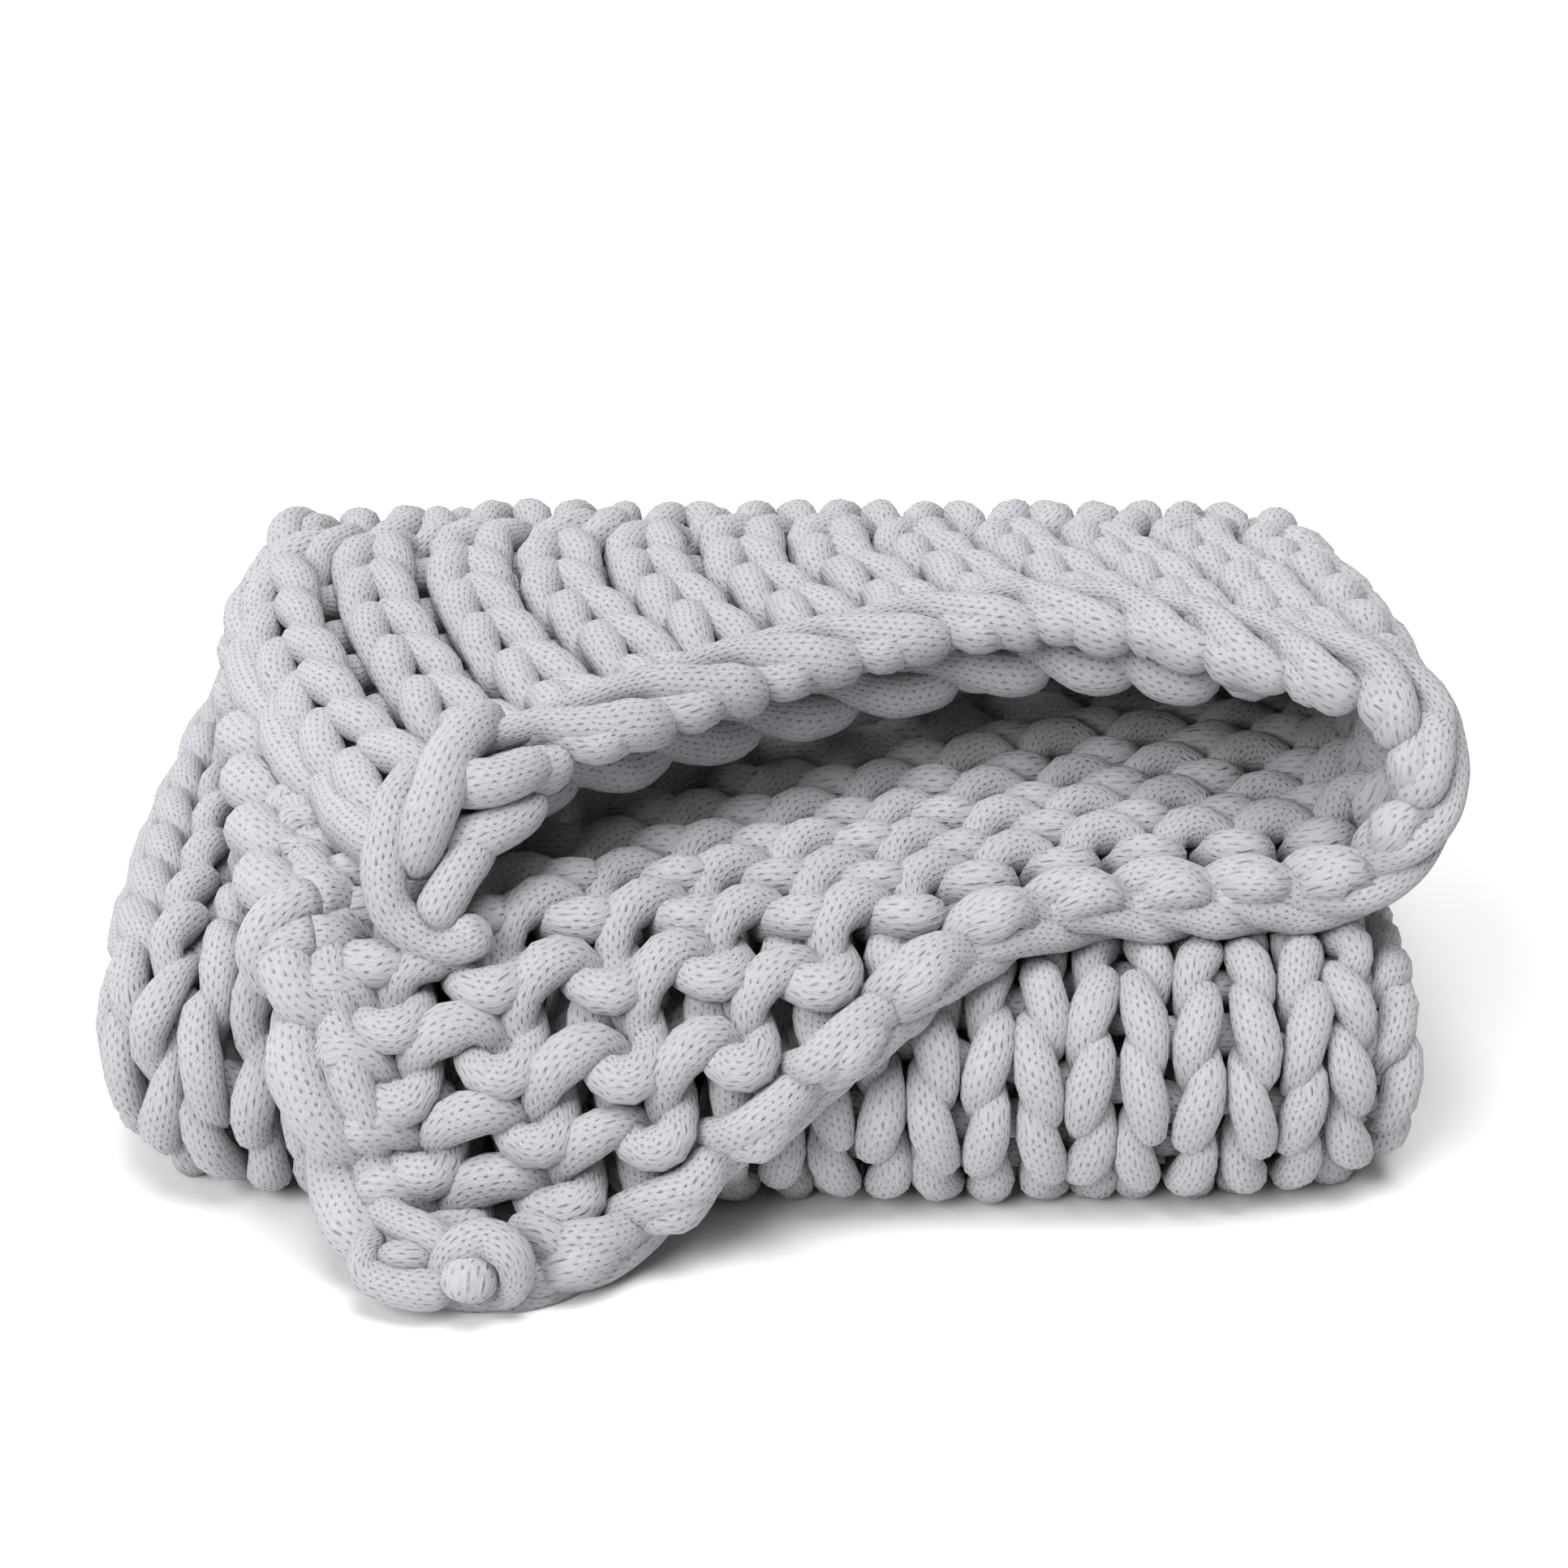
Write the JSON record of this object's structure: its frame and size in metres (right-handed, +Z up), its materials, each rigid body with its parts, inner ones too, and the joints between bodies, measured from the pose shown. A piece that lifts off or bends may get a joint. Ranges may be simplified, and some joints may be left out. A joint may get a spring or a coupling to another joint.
{
  "type": "folded chunky knit blanket",
  "caption": "Chunky knit throw folded in a low pile; the lower cloth falls over the front and the upper cloth arches open above it.",
  "frame": {"origin": "middle of the blanket's box in X and Y, on the surface it lies on", "axes": "+Z up; -Y towards the front, over which the lower cloth falls; +X towards the turned edge"},
  "size_m": [0.5368, 0.506, 0.217],
  "materials": {
    "yarn": "matt, pale cool grey"
  },
  "bodies": {
    "root": {"blanket": "yarn"}
  },
  "joints": []
}
